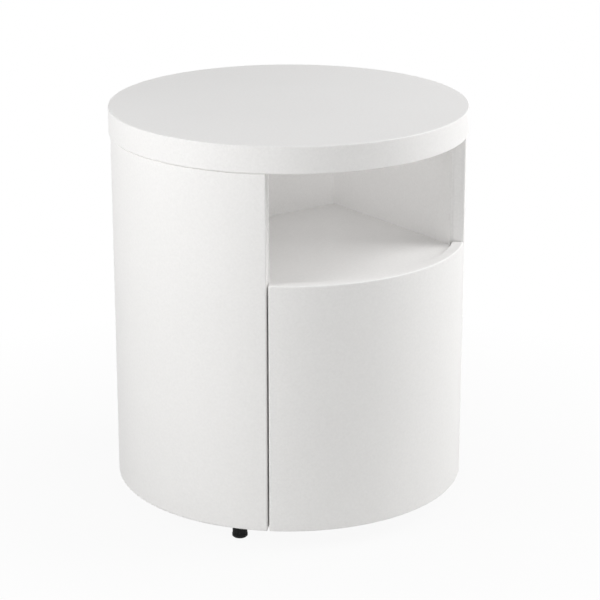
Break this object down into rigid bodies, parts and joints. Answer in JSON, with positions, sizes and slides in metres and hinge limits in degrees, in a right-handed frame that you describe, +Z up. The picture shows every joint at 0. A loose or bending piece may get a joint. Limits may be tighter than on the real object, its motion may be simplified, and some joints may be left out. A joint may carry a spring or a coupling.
{
  "type": "nightstand",
  "caption": "Round drum nightstand with an open niche above a deep handle-less drawer whose curved front is flush with the bent shell, on low levelling feet.",
  "frame": {"origin": "on the floor under the centre of the drum, at the foot pads' undersides", "axes": "+Z up along the drum's axis, the niche and the drawer front face -Y, +X to the right of someone facing along +Y"},
  "size_m": [0.5, 0.5, 0.563],
  "materials": {
    "white_lacquer": "satin white lacquer on board",
    "birch_ply": "clear satin lacquer on birch plywood",
    "beech_dowel": "raw beech",
    "zinc_steel": "zinc plated",
    "bright_steel": "polished steel",
    "black_plastic": "moulded, satin",
    "grey_plastic": "moulded, satin",
    "soft_rubber": "soft"
  },
  "bodies": {
    "cabinet": {"curved_shell": "white_lacquer", "top_panel": "white_lacquer", "bottom_panel": "white_lacquer", "middle_shelf": "white_lacquer", "bay_right_wall": "white_lacquer", "bay_left_wall": "white_lacquer", "bay_back_wall": "white_lacquer", "niche_right_wall": "white_lacquer", "niche_left_wall": "white_lacquer", "niche_back_wall": "white_lacquer", "carcass_screws": "zinc_steel", "bay_wall_dowels": "beech_dowel", "niche_wall_dowels": "beech_dowel", "top_dowels": "beech_dowel", "shell_dowels": "beech_dowel", "shell_top_dowels": "beech_dowel", "top_brackets": "zinc_steel", "top_bracket_screws": "zinc_steel", "foot_nuts": "zinc_steel", "runner_wall_screws": "zinc_steel", "push_latch_housing": "grey_plastic", "push_latch_spring": "bright_steel", "left_runner_outer": "zinc_steel", "right_runner_outer": "zinc_steel"},
    "drawer": {"drawer_front": "white_lacquer", "drawer_bottom": "birch_ply", "drawer_right_side": "birch_ply", "drawer_left_side": "birch_ply", "drawer_back": "birch_ply", "drawer_corner_blocks": "birch_ply", "drawer_front_screws": "zinc_steel", "drawer_dowels": "beech_dowel", "runner_drawer_screws": "zinc_steel", "left_runner_inner": "zinc_steel", "right_runner_inner": "zinc_steel"},
    "latch_plunger": {"push_latch_plunger": "grey_plastic", "push_latch_tip": "soft_rubber"},
    "left_middle_runner": {"left_runner_middle": "zinc_steel"},
    "left_outer_cage": {"left_outer_ball_cage": "bright_steel"},
    "left_inner_cage": {"left_inner_ball_cage": "bright_steel"},
    "right_middle_runner": {"right_runner_middle": "zinc_steel"},
    "right_outer_cage": {"right_outer_ball_cage": "bright_steel"},
    "right_inner_cage": {"right_inner_ball_cage": "bright_steel"},
    "front_left_foot": {"front_left_foot_pad": "black_plastic", "front_left_foot_stem": "zinc_steel"},
    "front_right_foot": {"front_right_foot_pad": "black_plastic", "front_right_foot_stem": "zinc_steel"},
    "rear_left_foot": {"rear_left_foot_pad": "black_plastic", "rear_left_foot_stem": "zinc_steel"},
    "rear_right_foot": {"rear_right_foot_pad": "black_plastic", "rear_right_foot_stem": "zinc_steel"}
  },
  "joints": [
    {"name": "drawer_slide", "type": "slide", "parent": "cabinet", "child": "drawer", "axis": [0, -1, 0], "range_m": [0, 0.25]},
    {"name": "left_middle_runner_slide", "type": "slide", "parent": "cabinet", "child": "left_middle_runner", "axis": [0, -1, 0], "range_m": [0, 0.125]},
    {"name": "left_outer_cage_slide", "type": "slide", "parent": "cabinet", "child": "left_outer_cage", "axis": [0, -1, 0], "range_m": [0, 0.0625]},
    {"name": "left_inner_cage_slide", "type": "slide", "parent": "cabinet", "child": "left_inner_cage", "axis": [0, -1, 0], "range_m": [0, 0.1875]},
    {"name": "right_middle_runner_slide", "type": "slide", "parent": "cabinet", "child": "right_middle_runner", "axis": [0, -1, 0], "range_m": [0, 0.125]},
    {"name": "right_outer_cage_slide", "type": "slide", "parent": "cabinet", "child": "right_outer_cage", "axis": [0, -1, 0], "range_m": [0, 0.0625]},
    {"name": "right_inner_cage_slide", "type": "slide", "parent": "cabinet", "child": "right_inner_cage", "axis": [0, -1, 0], "range_m": [0, 0.1875]},
    {"name": "latch_plunger_push", "type": "slide", "parent": "cabinet", "child": "latch_plunger", "axis": [0, 1, 0], "range_m": [0, 0.003], "stiffness_N_per_m": 300, "springref_m": -0.01, "deforming": ["push_latch_spring"]},
    {"name": "front_left_foot_screw", "type": "slide", "parent": "cabinet", "child": "front_left_foot", "axis": [0, 0, -1], "range_m": [0, 0.008]},
    {"name": "front_right_foot_screw", "type": "slide", "parent": "cabinet", "child": "front_right_foot", "axis": [0, 0, -1], "range_m": [0, 0.008]},
    {"name": "rear_left_foot_screw", "type": "slide", "parent": "cabinet", "child": "rear_left_foot", "axis": [0, 0, -1], "range_m": [0, 0.008]},
    {"name": "rear_right_foot_screw", "type": "slide", "parent": "cabinet", "child": "rear_right_foot", "axis": [0, 0, -1], "range_m": [0, 0.008]}
  ],
  "couplings": [
    {"joint": "left_middle_runner_slide", "follows": "drawer_slide", "ratio": 0.5},
    {"joint": "left_outer_cage_slide", "follows": "drawer_slide", "ratio": 0.25},
    {"joint": "left_inner_cage_slide", "follows": "drawer_slide", "ratio": 0.75},
    {"joint": "right_middle_runner_slide", "follows": "drawer_slide", "ratio": 0.5},
    {"joint": "right_outer_cage_slide", "follows": "drawer_slide", "ratio": 0.25},
    {"joint": "right_inner_cage_slide", "follows": "drawer_slide", "ratio": 0.75}
  ]
}
